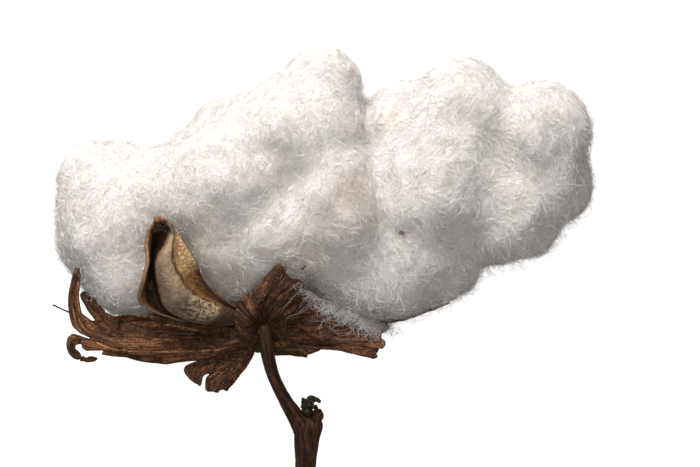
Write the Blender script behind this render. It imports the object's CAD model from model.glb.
"""Looks of an open cotton boll that lies on its side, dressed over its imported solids.

Shapes are laid out in the boll's own design frame, in millimetres: X and Y are zero at the foot of
the boll, Y runs from the cut branch towards the lint and Z is the height above the surface. The
DesignFrame carries them into the row's frame, in metres.
"""

import logging
import math
from dataclasses import dataclass, field
from enum import Enum

import bmesh
import bpy
import numpy as np
from mathutils import Matrix, Vector, noise
from mathutils.bvhtree import BVHTree
from mathutils.kdtree import KDTree


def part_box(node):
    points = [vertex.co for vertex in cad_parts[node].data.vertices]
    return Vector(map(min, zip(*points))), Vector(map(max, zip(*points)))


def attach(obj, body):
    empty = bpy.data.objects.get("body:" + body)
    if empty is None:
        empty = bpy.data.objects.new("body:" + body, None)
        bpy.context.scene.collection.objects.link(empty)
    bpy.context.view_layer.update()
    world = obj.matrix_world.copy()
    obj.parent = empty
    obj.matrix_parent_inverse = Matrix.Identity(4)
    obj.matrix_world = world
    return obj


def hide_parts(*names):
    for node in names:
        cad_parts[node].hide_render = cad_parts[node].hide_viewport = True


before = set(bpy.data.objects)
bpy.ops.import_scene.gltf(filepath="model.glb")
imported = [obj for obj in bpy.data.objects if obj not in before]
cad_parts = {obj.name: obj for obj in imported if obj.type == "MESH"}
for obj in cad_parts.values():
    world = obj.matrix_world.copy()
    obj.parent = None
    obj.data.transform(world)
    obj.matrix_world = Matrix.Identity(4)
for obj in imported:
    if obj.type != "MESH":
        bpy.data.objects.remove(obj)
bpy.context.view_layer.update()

MM = 0.001
MERGE = 1e-6
BODY = "root"
Point = tuple[float, float, float]
Colour = tuple[float, float, float]
Station = tuple[float, float, float, float]
Fibres = tuple[np.ndarray, np.ndarray, np.ndarray]
Socket = bpy.types.NodeSocket
log = logging.getLogger("cotton_boll")


class Slot(Enum):
    """The record's material slots."""

    LINT = "lint"
    HUSK = "husk"
    BRACT = "bract"
    STALK = "stalk"
    BUD = "bud"
    SEED = "seed"


@dataclass(frozen=True)
class DesignFrame:
    """Ties the design frame to the row's frame.

    Args:
        zero: where the design frame's zero stands in the row's frame, in millimetres.
    """

    zero: tuple[float, ...]

    @classmethod
    def from_stem(cls, corner: Point) -> "DesignFrame":
        """Reads the frame off the low corner of the stem's box, which both frames know."""
        return cls(tuple(np.array(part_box("stem")[0]) / MM - np.array(corner)))

    def offset(self) -> np.ndarray:
        """The step from design points to the row's points, in millimetres."""
        return np.array(self.zero)

    def to_row(self, points: np.ndarray | Point) -> np.ndarray:
        """Carries points over.

        Args:
            points: design points in millimetres, the last axis being x, y, z.

        Returns:
            The same points in the row's frame, in metres.
        """
        return (np.asarray(points, float) + self.offset()) * MM

    def step_to(self, point: Point) -> Matrix:
        """The step from the row's zero to a design point."""
        return Matrix.Translation(Vector(self.to_row(point)))


STEM_CORNER = (-1.277, -31.409, 12.288)
DESIGN = DesignFrame.from_stem(STEM_CORNER)
MIDDLE = (18.48, 21.3)


@dataclass(frozen=True)
class NoiseField:
    """Smooth random vectors all over space, the same in every run.

    Args:
        cell: the size of its features, in millimetres.
        seed: which field this is.
        side: how many cells it has each way before it repeats.
    """

    cell: float
    seed: int
    side: int = 24

    def at(self, points: np.ndarray) -> np.ndarray:
        """Reads the field.

        Args:
            points: an array of points in millimetres, one a row.

        Returns:
            A vector for each point, each part between -1 and 1.
        """
        lattice = np.random.default_rng(self.seed).uniform(-1, 1, (self.side,) * 3 + (3,))
        place = points / self.cell
        base = np.floor(place).astype(int)
        part = place - base
        part = part * part * (3 - 2 * part)
        total = np.zeros_like(points)
        for corner in np.ndindex(2, 2, 2):
            share = np.where(corner, part, 1 - part).prod(axis=1)
            x, y, z = ((base + corner) % self.side).T
            total += share[:, None] * lattice[x, y, z]
        return total


def unit(vectors: np.ndarray) -> np.ndarray:
    """The vectors at length one."""
    length = np.linalg.norm(vectors, axis=-1, keepdims=True)
    return vectors / np.maximum(length, 1e-9)


def smooth_line(points: list | np.ndarray, count: int, crowding: float = 1.0) -> np.ndarray:
    """Points on a smooth curve through given points.

    Args:
        points: what the curve goes through, from its start to its end.
        count: how many points come back.
        crowding: 1 spaces them evenly, and more crowds them towards the end.

    Returns:
        An array of count rows.
    """
    knots = np.array(points, float)
    reach = np.append(0.0, np.cumsum(np.linalg.norm(np.diff(knots, axis=0), axis=1)))
    slopes = np.gradient(knots, reach, axis=0)
    dense = np.linspace(0.0, reach[-1], 30 * len(knots))
    span = np.clip(np.searchsorted(reach, dense, side="right") - 1, 0, len(knots) - 2)
    step = (reach[span + 1] - reach[span])[:, None]
    t = (dense - reach[span])[:, None] / step
    curve = (1 + 2 * t) * (1 - t) ** 2 * knots[span] + t * (1 - t) ** 2 * step * slopes[span]
    curve += t * t * (3 - 2 * t) * knots[span + 1] + t * t * (t - 1) * step * slopes[span + 1]
    travelled = np.append(0.0, np.cumsum(np.linalg.norm(np.diff(curve[:, :3], axis=0), axis=1)))
    stops = travelled[-1] * (1.0 - (1.0 - np.linspace(0.0, 1.0, count)) ** crowding)
    columns = [np.interp(stops, travelled, column) for column in curve.T]
    return np.stack(columns, axis=1)


class Workbench:
    """Turns bmeshes into finished pieces of the scene."""

    @staticmethod
    def hang(name: str, mesh: bpy.types.Mesh) -> bpy.types.Object:
        """Puts a mesh into the scene.

        Args:
            name: the new object's name.
            mesh: its mesh.

        Returns:
            The new object.
        """
        obj = bpy.data.objects.new(name, mesh)
        bpy.context.scene.collection.objects.link(obj)
        return obj

    @staticmethod
    def mesh_of(bm: bmesh.types.BMesh, name: str) -> bpy.types.Mesh:
        """Turns a bmesh into a mesh.

        Args:
            bm: the bmesh, which is freed.
            name: the mesh's name.

        Returns:
            The mesh.
        """
        mesh = bpy.data.meshes.new(name)
        bm.to_mesh(mesh)
        bm.free()
        return mesh

    @staticmethod
    def bake(obj: bpy.types.Object) -> None:
        """Puts the result of an object's modifiers into its mesh.

        Args:
            obj: the object, which is left without modifiers.
        """
        bpy.context.view_layer.update()
        graph = bpy.context.evaluated_depsgraph_get()
        baked = bpy.data.meshes.new_from_object(obj.evaluated_get(graph))
        obj.modifiers.clear()
        obj.data = baked

    @staticmethod
    def felt(obj: bpy.types.Object, voxel: float, easing: int) -> None:
        """Grows the object's parts together under one even skin.

        Args:
            obj: the object, whose mesh is replaced.
            voxel: the size of the skin's faces, in millimetres.
            easing: how often the skin is smoothed.
        """
        skin = obj.modifiers.new("skin", "REMESH")
        skin.mode = "VOXEL"
        skin.voxel_size = voxel * MM
        ease = obj.modifiers.new("ease", "SMOOTH")
        ease.factor = 0.5
        ease.iterations = easing
        Workbench.bake(obj)

    @staticmethod
    def thicken(obj: bpy.types.Object, thickness: float) -> None:
        """Makes a sheet a closed wall, half of it to each side.

        Args:
            obj: the sheet.
            thickness: the wall's thickness, in millimetres.
        """
        wall = obj.modifiers.new("wall", "SOLIDIFY")
        wall.thickness = thickness * MM
        wall.offset = 0.0
        Workbench.bake(obj)

    @staticmethod
    def reshape(bm: bmesh.types.BMesh, points: np.ndarray) -> None:
        """Puts a bmesh's vertices at the given design points.

        Args:
            bm: the bmesh.
            points: a design point for each vertex, in order.
        """
        for vertex, place in zip(bm.verts, DESIGN.to_row(points)):
            vertex.co = Vector(place)

    @staticmethod
    def cad_copy(nodes: tuple[str, ...]) -> bmesh.types.BMesh:
        """A merged copy of the meshes of CAD nodes.

        Args:
            nodes: the nodes' names.

        Returns:
            One bmesh that holds them all.
        """
        bm = bmesh.new()
        for node in nodes:
            bm.from_mesh(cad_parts[node].data)
        bmesh.ops.remove_doubles(bm, verts=bm.verts[:], dist=MERGE)
        return bm

    @staticmethod
    def grid(across: int, along: int) -> bmesh.types.BMesh:
        """A flat square grid with the given number of steps each way.

        Args:
            across: the steps across it.
            along: the steps along it.

        Returns:
            The grid, of side 1 round zero.
        """
        bm = bmesh.new()
        bmesh.ops.create_grid(bm, x_segments=across, y_segments=along, size=0.5)
        return bm

    @staticmethod
    def address(vertex: bmesh.types.BMVert, across: int, along: int) -> tuple[int, int]:
        """The column and row of a vertex of such a grid."""
        return round((vertex.co.x + 0.5) * across), round((vertex.co.y + 0.5) * along)

    @staticmethod
    def column(obj: bpy.types.Object, kind: str) -> np.ndarray:
        """One vector of each of the mesh's vertices.

        Args:
            obj: the object.
            kind: which vector, "co" or "normal".

        Returns:
            An array with a row for each vertex.
        """
        flat = np.empty(len(obj.data.vertices) * 3)
        obj.data.vertices.foreach_get(kind, flat)
        return flat.reshape(-1, 3)

    @staticmethod
    def points(obj: bpy.types.Object) -> np.ndarray:
        """The mesh's points, in the design frame's millimetres."""
        return Workbench.column(obj, "co") / MM - DESIGN.offset()

    @staticmethod
    def normals(obj: bpy.types.Object) -> np.ndarray:
        """The mesh's point normals."""
        return Workbench.column(obj, "normal")

    @staticmethod
    def move(obj: bpy.types.Object, points: np.ndarray) -> None:
        """Puts the mesh's points at the given design points."""
        obj.data.vertices.foreach_set("co", DESIGN.to_row(points).ravel())
        obj.data.update()

    @staticmethod
    def paint(obj: bpy.types.Object, name: str, values: np.ndarray) -> None:
        """Stores a vector for each point under a name that a material reads."""
        layer = obj.data.attributes.new(name, "FLOAT_VECTOR", "POINT")
        layer.data.foreach_set("vector", np.ascontiguousarray(values, np.float32).ravel())

    @staticmethod
    def hand_over(
        obj: bpy.types.Object, finish: "Finish", slot: Slot, nodes: tuple[str, ...] = ()
    ) -> bpy.types.Object:
        """Makes the object a piece of the boll.

        Args:
            obj: the finished object.
            finish: what it is dressed in.
            slot: the record's material slot that the finish belongs to.
            nodes: the CAD nodes that it stands for.

        Returns:
            The same object.
        """
        obj.data.materials.append(finish.material())
        obj.data.shade_smooth()
        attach(obj, BODY)
        if nodes:
            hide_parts(*nodes)
        log.info("%s: %d faces", obj.name, len(obj.data.polygons))
        return obj


COLOUR_A, COLOUR_B, COLOUR_OUT = 6, 7, 2


class NodeDesk:
    """Short ways to lay out the nodes of one tree."""

    def __init__(self, tree: bpy.types.NodeTree) -> None:
        """Works on the given tree."""
        self.tree = tree

    def node(self, kind: str, **settings: object) -> bpy.types.Node:
        """A new node.

        Args:
            kind: the node's type name.
            settings: the node's own properties.

        Returns:
            The node.
        """
        made = self.tree.nodes.new(kind)
        for key, value in settings.items():
            setattr(made, key, value)
        return made

    def feed(self, socket: Socket, value: object) -> None:
        """Gives an input what it works on.

        Args:
            socket: the input.
            value: an output to link, a colour or a plain value.
        """
        if isinstance(value, Socket):
            self.tree.links.new(value, socket)
        elif isinstance(value, tuple) and len(value) == 3 and socket.type == "RGBA":
            socket.default_value = (*value, 1.0)
        else:
            socket.default_value = value

    def place(self) -> Socket:
        """The point's place on the piece, in millimetres."""
        return self.stretched(self.node("ShaderNodeTexCoord").outputs["Object"], (1.0 / MM,) * 3)

    def attribute(self, name: str) -> Socket:
        """A vector that the piece's mesh carries."""
        return self.node("ShaderNodeAttribute", attribute_name=name).outputs["Vector"]

    def split(self, vector: Socket) -> list[Socket]:
        """Takes a vector apart.

        Args:
            vector: the vector.

        Returns:
            Its three parts.
        """
        parts = self.node("ShaderNodeSeparateXYZ")
        self.feed(parts.inputs[0], vector)
        return list(parts.outputs)

    def spread(self, across: object, along: object, scale: tuple[float, float]) -> Socket:
        """A place on a blade that is laid out flat.

        Args:
            across: the place across the blade.
            along: the place along it.
            scale: what each of them is multiplied by.

        Returns:
            The two as a vector.
        """
        joined = self.node("ShaderNodeCombineXYZ")
        self.feed(joined.inputs[0], self.times(across, scale[0]))
        self.feed(joined.inputs[1], self.times(along, scale[1]))
        return joined.outputs[0]

    def stretched(self, vector: Socket, scale: Point) -> Socket:
        """Scales a vector.

        Args:
            vector: the vector.
            scale: what each of its parts is multiplied by.

        Returns:
            The scaled vector.
        """
        mapping = self.node("ShaderNodeMapping")
        self.feed(mapping.inputs["Vector"], vector)
        mapping.inputs["Scale"].default_value = scale
        return mapping.outputs["Vector"]

    def noise(
        self, vector: object, scale: float, detail: float = 3.0, warp: float = 0.0
    ) -> Socket:
        """Soft noise.

        Args:
            vector: where it is read.
            scale: how many features it has to each unit of the vector.
            detail: how many finer layers it has.
            warp: how far it is twisted.

        Returns:
            A value between 0 and 1.
        """
        made = self.node("ShaderNodeTexNoise")
        self.feed(made.inputs["Vector"], vector)
        made.inputs["Scale"].default_value = scale
        made.inputs["Detail"].default_value = detail
        made.inputs["Distortion"].default_value = warp
        return made.outputs["Fac"]

    def net(self, vector: object, scale: float) -> Socket:
        """A net of cells.

        Args:
            vector: where it is read.
            scale: how many cells it has to each unit of the vector.

        Returns:
            The distance to the nearest thread of the net.
        """
        made = self.node("ShaderNodeTexVoronoi", feature="DISTANCE_TO_EDGE")
        self.feed(made.inputs["Vector"], vector)
        made.inputs["Scale"].default_value = scale
        return made.outputs["Distance"]

    def reckon(self, operation: str, first: object, second: object = 0.0) -> Socket:
        """One step of arithmetic.

        Args:
            operation: the step's name.
            first: the first value.
            second: the second value.

        Returns:
            The result.
        """
        made = self.node("ShaderNodeMath", operation=operation)
        self.feed(made.inputs[0], first)
        self.feed(made.inputs[1], second)
        return made.outputs[0]

    def times(self, first: object, second: object) -> Socket:
        """The product of two values."""
        return self.reckon("MULTIPLY", first, second)

    def plus(self, first: object, second: object) -> Socket:
        """The sum of two values."""
        return self.reckon("ADD", first, second)

    def minus(self, first: object, second: object) -> Socket:
        """The first value less the second."""
        return self.reckon("SUBTRACT", first, second)

    def size_of(self, value: object) -> Socket:
        """The value without its sign."""
        return self.reckon("ABSOLUTE", value)

    def fit(
        self, value: object, low: float, high: float, into: tuple[float, float] = (0.0, 1.0)
    ) -> Socket:
        """Carries a value smoothly from one range into another, held at its ends.

        Args:
            value: the value.
            low: what becomes the first of into. It may be the larger one.
            high: what becomes the second of into.
            into: the new range.

        Returns:
            The carried value.
        """
        made = self.node("ShaderNodeMapRange", interpolation_type="SMOOTHSTEP")
        self.feed(made.inputs["Value"], value)
        for key, number in zip(("From Min", "From Max", "To Min", "To Max"), (low, high, *into)):
            made.inputs[key].default_value = number
        return made.outputs["Result"]

    def blend(self, share: object, first: object, second: object, way: str = "MIX") -> Socket:
        """Mixes two colours.

        Args:
            share: how much of the second one is taken.
            first: the first colour.
            second: the second colour.
            way: how they are mixed.

        Returns:
            The mixed colour.
        """
        made = self.node("ShaderNodeMix", data_type="RGBA", blend_type=way)
        self.feed(made.inputs["Factor"], share)
        self.feed(made.inputs[COLOUR_A], first)
        self.feed(made.inputs[COLOUR_B], second)
        return made.outputs[COLOUR_OUT]

    def ramp(self, value: object, stops: list[tuple[float, Colour]]) -> Socket:
        """Reads a colour off a scale.

        Args:
            value: where it is read.
            stops: the scale's places and their colours.

        Returns:
            The colour.
        """
        made = self.node("ShaderNodeValToRGB")
        self.feed(made.inputs["Fac"], value)
        scale = made.color_ramp
        while len(scale.elements) < len(stops):
            scale.elements.new(0.5)
        for element, (position, colour) in zip(scale.elements, stops):
            element.position = position
            element.color = (*colour, 1.0)
        return made.outputs["Color"]

    def bump(self, height: object, distance: float, strength: float = 1.0) -> Socket:
        """Tilts the surface by a height.

        Args:
            height: the height's value.
            distance: how high a value of 1 stands, in metres.
            strength: how strongly it shows.

        Returns:
            A normal.
        """
        made = self.node("ShaderNodeBump")
        made.inputs["Strength"].default_value = strength
        made.inputs["Distance"].default_value = distance
        self.feed(made.inputs["Height"], height)
        return made.outputs["Normal"]


def mottle_group() -> bpy.types.NodeTree:
    """The shared group of blotches, specks and grain that every dry surface of the boll has.

    Returns:
        The group, made on the first call.
    """
    known = bpy.data.node_groups.get("dry_mottle")
    if known:
        return known
    group = bpy.data.node_groups.new("dry_mottle", "ShaderNodeTree")
    group.interface.new_socket("Vector", in_out="INPUT", socket_type="NodeSocketVector")
    for name in ("Blotches", "Specks", "Grain"):
        group.interface.new_socket(name, in_out="OUTPUT", socket_type="NodeSocketFloat")
    desk = NodeDesk(group)
    inside = desk.node("NodeGroupInput").outputs["Vector"]
    outside = desk.node("NodeGroupOutput")
    desk.feed(outside.inputs["Blotches"], desk.fit(desk.noise(inside, 0.28, 4.0, 0.6), 0.36, 0.66))
    desk.feed(outside.inputs["Specks"], desk.fit(desk.noise(inside, 2.6, 2.0), 0.60, 0.72))
    desk.feed(outside.inputs["Grain"], desk.noise(inside, 1.5, 5.0))
    return group


class Finish:
    """A material made once under its own name."""

    name = "finish"

    def material(self) -> bpy.types.Material:
        """The finish as a material.

        Returns:
            The material, made on the first call.
        """
        known = bpy.data.materials.get(self.name)
        if known:
            return known
        made = bpy.data.materials.new(self.name)
        made.use_nodes = True
        desk = NodeDesk(made.node_tree)
        self.lay_out(desk, made.node_tree.nodes["Principled BSDF"])
        return made

    def lay_out(self, desk: NodeDesk, shader: bpy.types.Node) -> None:
        """Lays out the nodes that feed the shader."""
        raise NotImplementedError

    @staticmethod
    def mottle(desk: NodeDesk, vector: object) -> bpy.types.Node:
        """Places the shared blotches, specks and grain.

        Args:
            desk: where the nodes are laid out.
            vector: the place, in millimetres.

        Returns:
            The group's node.
        """
        made = desk.node("ShaderNodeGroup", node_tree=mottle_group())
        desk.feed(made.inputs["Vector"], vector)
        return made

    @staticmethod
    def plain(shader: bpy.types.Node, values: dict[str, float | Point]) -> None:
        """Sets values that are the same all over the surface on the shader's own inputs."""
        for name, value in values.items():
            shader.inputs[name].default_value = value


@dataclass(frozen=True)
class LintFinish(Finish):
    """The white body of the lint, under its loose fibres."""

    name: str = "lint_body"
    colour: Colour = (0.82, 0.79, 0.765)
    shade: Colour = (0.58, 0.545, 0.52)

    def lay_out(self, desk: NodeDesk, shader: bpy.types.Node) -> None:
        """Soft white with faint darker creases and a felted surface.

        Args:
            desk: where the nodes are laid out.
            shader: the surface that they feed.
        """
        place = desk.place()
        felt = desk.noise(place, 3.0, 4.0, 1.2)
        patches = desk.fit(desk.noise(place, 0.16, 3.0), 0.35, 0.7)
        colour = desk.blend(desk.times(patches, 0.30), self.colour, self.shade)
        colour = desk.blend(desk.fit(felt, 0.60, 0.38, (0.0, 0.6)), colour, self.shade)
        colour = desk.blend(1.0, colour, desk.attribute("tint"), "MULTIPLY")
        desk.feed(shader.inputs["Base Color"], colour)
        desk.feed(shader.inputs["Normal"], desk.bump(felt, 0.00035, 0.9))
        self.plain(shader, {
            "Roughness": 0.95, "Specular IOR Level": 0.1, "Sheen Weight": 0.15,
            "Subsurface Weight": 0.5, "Subsurface Radius": (1.0, 0.9, 0.8), "Subsurface Scale": 0.003,
        })


@dataclass(frozen=True)
class FibreFinish(Finish):
    """A loose cotton fibre. Each has its own tint."""

    name: str = "lint_fibre"
    colour: Colour = (0.93, 0.90, 0.88)
    grime: Colour = (0.55, 0.5, 0.46)

    def lay_out(self, desk: NodeDesk, shader: bpy.types.Node) -> None:
        """Near white, turned by the fibre's tint.

        Args:
            desk: where the nodes are laid out.
            shader: the surface that they feed.
        """
        colour = desk.blend(1.0, self.colour, desk.attribute("tint"), "MULTIPLY")
        streak = desk.noise(desk.place(), 1.1, 2.0)
        colour = desk.blend(desk.fit(streak, 0.35, 0.65, (0.12, 0.0)), colour, self.grime, "MULTIPLY")
        desk.feed(shader.inputs["Base Color"], colour)
        self.plain(shader, {"Roughness": 0.7, "Specular IOR Level": 0.25, "Sheen Weight": 0.1})


@dataclass(frozen=True)
class BractFinish(Finish):
    """A dry, veined leaf."""

    name: str = "bract_leaf"
    pale: Colour = (0.205, 0.110, 0.062)
    base: Colour = (0.105, 0.050, 0.028)
    dark: Colour = (0.026, 0.013, 0.007)
    dust: Colour = (0.25, 0.165, 0.11)
    net_scale: tuple[float, float] = (1.9, 0.62)
    streak_scale: tuple[float, float] = (5.5, 0.16)
    vein_scale: tuple[float, float] = (1.7, 0.11)

    def lay_out(self, desk: NodeDesk, shader: bpy.types.Node) -> None:
        """Lengthwise veins, a fine net between them, blotches and a dark edge and tip.

        Args:
            desk: where the nodes are laid out.
            shader: the surface that they feed.
        """
        across, along, rib = desk.split(desk.attribute("blade"))
        net = desk.fit(desk.net(desk.spread(across, along, self.net_scale), 1.0), 0.0, 0.13, (1.0, 0.0))
        streaks = desk.noise(desk.spread(across, along, self.streak_scale), 1.0, 4.0, 0.3)
        contour = desk.noise(desk.spread(across, along, self.vein_scale), 1.0, 3.0, 0.9)
        veins = desk.fit(desk.size_of(desk.minus(contour, 0.5)), 0.045, 0.008)
        main = desk.fit(desk.size_of(rib), 0.10, 0.0)
        seam = desk.fit(desk.size_of(rib), 0.86, 1.0)
        place = desk.place()
        mottle = self.mottle(desk, place)
        colour = desk.blend(desk.fit(streaks, 0.32, 0.68), self.base, self.pale)
        colour = desk.blend(desk.times(mottle.outputs["Blotches"], 0.7), colour, self.dark)
        soot = desk.fit(desk.noise(place, 0.8, 4.0, 0.8), 0.42, 0.6)
        foot = desk.times(desk.fit(along, 19.0, 8.0, (0.0, 0.8)), soot)
        colour = desk.blend(foot, colour, self.dark)
        grit = desk.noise(place, 3.4, 4.0, 0.5)
        colour = desk.blend(desk.fit(grit, 0.50, 0.66, (0.0, 0.75)), colour, self.dark)
        colour = desk.blend(desk.fit(grit, 0.42, 0.30, (0.0, 0.7)), colour, self.dust)
        marks = ((net, 0.3), (veins, 0.85), (main, 0.45), (seam, 0.45), (mottle.outputs["Specks"], 0.5))
        for mark, depth in marks:
            colour = desk.blend(desk.times(mark, depth), colour, self.dark)
        colour = desk.blend(1.0, colour, desk.attribute("tint"), "MULTIPLY")
        desk.feed(shader.inputs["Base Color"], colour)
        height = desk.plus(desk.times(streaks, 1.2), desk.times(net, 0.5))
        height = desk.plus(height, desk.minus(main, veins))
        height = desk.plus(height, desk.minus(mottle.outputs["Grain"], grit))
        desk.feed(shader.inputs["Normal"], desk.bump(height, 0.0004, 1.0))
        desk.feed(shader.inputs["Roughness"], desk.fit(mottle.outputs["Grain"], 0.3, 0.7, (0.6, 0.85)))
        self.plain(shader, {"Specular IOR Level": 0.16})


@dataclass(frozen=True)
class ValveFinish(Finish):
    """The husk: dark outside and in its groove, tan on its rolled lip, amber where it is papery."""

    name: str = "husk_valve"
    char: Colour = (0.014, 0.007, 0.004)
    rust: Colour = (0.27, 0.115, 0.042)
    tan: Colour = (0.36, 0.245, 0.145)
    straw: Colour = (0.56, 0.40, 0.235)
    amber: Colour = (0.23, 0.105, 0.03)
    gold: Colour = (0.76, 0.50, 0.25)
    umber: Colour = (0.060, 0.027, 0.012)
    hide: Colour = (0.27, 0.195, 0.125)
    mildew: Colour = (0.055, 0.042, 0.026)
    fold_scale: tuple[float, float] = (3.0, 42.0)

    def lay_out(self, desk: NodeDesk, shader: bpy.types.Node) -> None:
        """Bands of colour across the valve, each with its own markings.

        Args:
            desk: where the nodes are laid out.
            shader: the surface that they feed.
        """
        across, along, outside = desk.split(desk.attribute("blade"))
        place = desk.place()
        mottle = self.mottle(desk, place)
        waver = desk.times(desk.minus(desk.noise(place, 0.7, 3.0), 0.5), 0.07)
        band = desk.plus(across, waver)
        colour = desk.ramp(band, [
            (0.0, self.tan), (0.03, self.rust), (0.07, self.char), (0.29, self.char),
            (0.315, self.rust), (0.35, self.hide), (0.50, self.hide), (0.645, self.tan),
            (0.675, self.umber), (0.70, self.amber), (0.93, self.amber), (0.97, self.umber),
        ])
        lip = desk.times(desk.fit(band, 0.33, 0.37), desk.fit(band, 0.67, 0.63))
        cream = desk.times(lip, desk.fit(along, 0.55, 0.32, (0.0, 0.75)))
        colour = desk.blend(cream, colour, self.straw)
        papery = desk.fit(band, 0.68, 0.72)
        high = desk.times(papery, desk.fit(desk.plus(along, waver), 0.58, 0.70))
        colour = desk.blend(high, colour, self.gold)
        cells = desk.times(desk.fit(desk.net(place, 1.15), 0.02, 0.16, (1.0, 0.0)), papery)
        colour = desk.blend(desk.times(cells, 0.3), colour, self.umber)
        mould = desk.times(desk.fit(desk.noise(place, 1.1, 4.0, 0.7), 0.46, 0.57), lip)
        mould = desk.times(mould, desk.fit(desk.size_of(desk.minus(along, 0.37)), 0.20, 0.06))
        colour = desk.blend(desk.times(mould, 0.88), colour, self.mildew)
        folds = desk.noise(desk.spread(across, along, self.fold_scale), 1.0, 2.0, 0.4)
        creases = desk.times(desk.fit(folds, 0.52, 0.70), desk.times(lip, 0.22))
        colour = desk.blend(creases, colour, self.umber)
        colour = desk.blend(desk.times(mottle.outputs["Blotches"], 0.35), colour, self.umber)
        colour = desk.blend(desk.fit(along, 0.30, 0.23, (0.0, 0.94)), colour, self.umber)
        ragged = desk.fit(desk.plus(along, desk.times(waver, 0.6)), 0.90, 0.97)
        colour = desk.blend(ragged, colour, self.char)
        rind = desk.ramp(mottle.outputs["Grain"], [(0.3, self.umber), (0.6, self.rust), (0.8, self.tan)])
        colour = desk.blend(outside, colour, rind)
        desk.feed(shader.inputs["Base Color"], colour)
        height = desk.plus(desk.times(folds, 0.35), mottle.outputs["Grain"])
        height = desk.minus(height, cells)
        desk.feed(shader.inputs["Normal"], desk.bump(height, 0.0003, 0.9))
        desk.feed(shader.inputs["Roughness"], desk.fit(mottle.outputs["Grain"], 0.3, 0.7, (0.42, 0.75)))
        self.plain(shader, {"Specular IOR Level": 0.35})


@dataclass(frozen=True)
class BarkFinish(Finish):
    """The stalk's thin bark, grooved along its length."""

    name: str = "stalk_bark"
    ridge: Colour = (0.145, 0.058, 0.028)
    base: Colour = (0.054, 0.019, 0.009)
    groove: Colour = (0.012, 0.006, 0.004)
    pith: Colour = (0.30, 0.22, 0.14)
    heart: Colour = (0.16, 0.11, 0.07)
    wood: Colour = (0.42, 0.33, 0.22)
    lichen: Colour = (0.2, 0.15, 0.11)

    def lay_out(self, desk: NodeDesk, shader: bpy.types.Node) -> None:
        """Dark reddish grooves and paler ridges, with pale wood where the branch is cut.

        Args:
            desk: where the nodes are laid out.
            shader: the surface that they feed.
        """
        grain = desk.attribute("grain")
        ribs = desk.noise(desk.stretched(grain, (1.0, 1.0, 0.09)), 1.6, 4.0, 0.2)
        fine = desk.noise(desk.stretched(grain, (1.0, 1.0, 0.25)), 5.0, 3.0)
        place = desk.place()
        mottle = self.mottle(desk, place)
        colour = desk.ramp(ribs, [(0.34, self.groove), (0.48, self.base), (0.66, self.ridge)])
        colour = desk.blend(desk.fit(fine, 0.60, 0.75, (0.0, 0.45)), colour, self.ridge)
        colour = desk.blend(desk.times(mottle.outputs["Blotches"], 0.45), colour, self.groove)
        colour = desk.blend(desk.fit(mottle.outputs["Specks"], 0.3, 1.0, (0.0, 0.3)), colour, self.lichen)
        face, ring, _ = desk.split(desk.attribute("cut"))
        wood = desk.ramp(ring, [(0.0, self.heart), (0.28, self.pith), (0.75, self.wood), (0.9, self.base)])
        colour = desk.blend(face, colour, wood)
        desk.feed(shader.inputs["Base Color"], colour)
        height = desk.plus(desk.times(ribs, 2.0), desk.times(fine, 0.5))
        desk.feed(shader.inputs["Normal"], desk.bump(height, 0.0003, 0.9))
        desk.feed(shader.inputs["Roughness"], desk.fit(fine, 0.3, 0.7, (0.5, 0.75)))
        self.plain(shader, {"Specular IOR Level": 0.22})


@dataclass(frozen=True)
class CrumbFinish(Finish):
    """Shrivelled tissue: the dead bud, with pale spots, or a seed's coat."""

    name: str = "bud_crumb"
    base: Colour = (0.016, 0.011, 0.008)
    pale: Colour = (0.085, 0.062, 0.043)
    spot: Colour = (0.42, 0.40, 0.34)
    spots: float = 0.6

    def lay_out(self, desk: NodeDesk, shader: bpy.types.Node) -> None:
        """Dark folds with dusty ridges and a few pale spots.

        Args:
            desk: where the nodes are laid out.
            shader: the surface that they feed.
        """
        place = desk.place()
        mottle = self.mottle(desk, place)
        folds = desk.noise(place, 1.3, 5.0, 0.8)
        colour = desk.blend(desk.fit(folds, 0.42, 0.68), self.base, self.pale)
        colour = desk.blend(desk.times(mottle.outputs["Specks"], self.spots), colour, self.spot)
        desk.feed(shader.inputs["Base Color"], colour)
        height = desk.plus(folds, desk.times(mottle.outputs["Grain"], 0.6))
        desk.feed(shader.inputs["Normal"], desk.bump(height, 0.0004, 1.0))
        self.plain(shader, {"Roughness": 0.8, "Specular IOR Level": 0.2})


@dataclass(frozen=True)
class Stain:
    """A place where the lint is discoloured.

    Args:
        place: its middle, a design point.
        reach: how far it reaches, in millimetres.
        colour: what the lint's colour is multiplied by there.
        strength: how much of that shows.
    """

    place: Point
    reach: float
    colour: Colour
    strength: float


STAINS = (
    Stain((27.5, 44.9, 36.0), 2.0, (0.82, 0.64, 0.46), 0.5),
    Stain((19.5, 31.5, 43.0), 4.5, (0.62, 0.54, 0.47), 0.45),
    Stain((17.5, 26.0, 43.0), 5.5, (0.78, 0.70, 0.62), 0.45),
    Stain((29.4, 21.2, 40.0), 1.0, (0.45, 0.34, 0.25), 0.5),
    Stain((-14.5, 18.0, 40.0), 5.0, (0.85, 0.72, 0.54), 0.5),
    Stain((-7.0, 9.0, 36.0), 4.5, (0.74, 0.62, 0.46), 0.5),
    Stain((9.0, 13.0, 40.0), 6.0, (0.86, 0.78, 0.68), 0.4),
    Stain((30.0, 6.0, 26.0), 6.0, (0.70, 0.62, 0.54), 0.5),
)


def lint_tint(points: np.ndarray) -> np.ndarray:
    """The lint's colour before its light, by place: clean white but near stains.

    Args:
        points: design points, one a row.

    Returns:
        A colour for each, to multiply the fibre's own.
    """
    tint = np.ones_like(points)
    for stain in STAINS:
        far = np.linalg.norm(points - np.array(stain.place), axis=1) / stain.reach
        share = stain.strength * np.exp(-far**2)
        tint = tint * (1 - share[:, None] * (1 - np.array(stain.colour)))
    return tint


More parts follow.
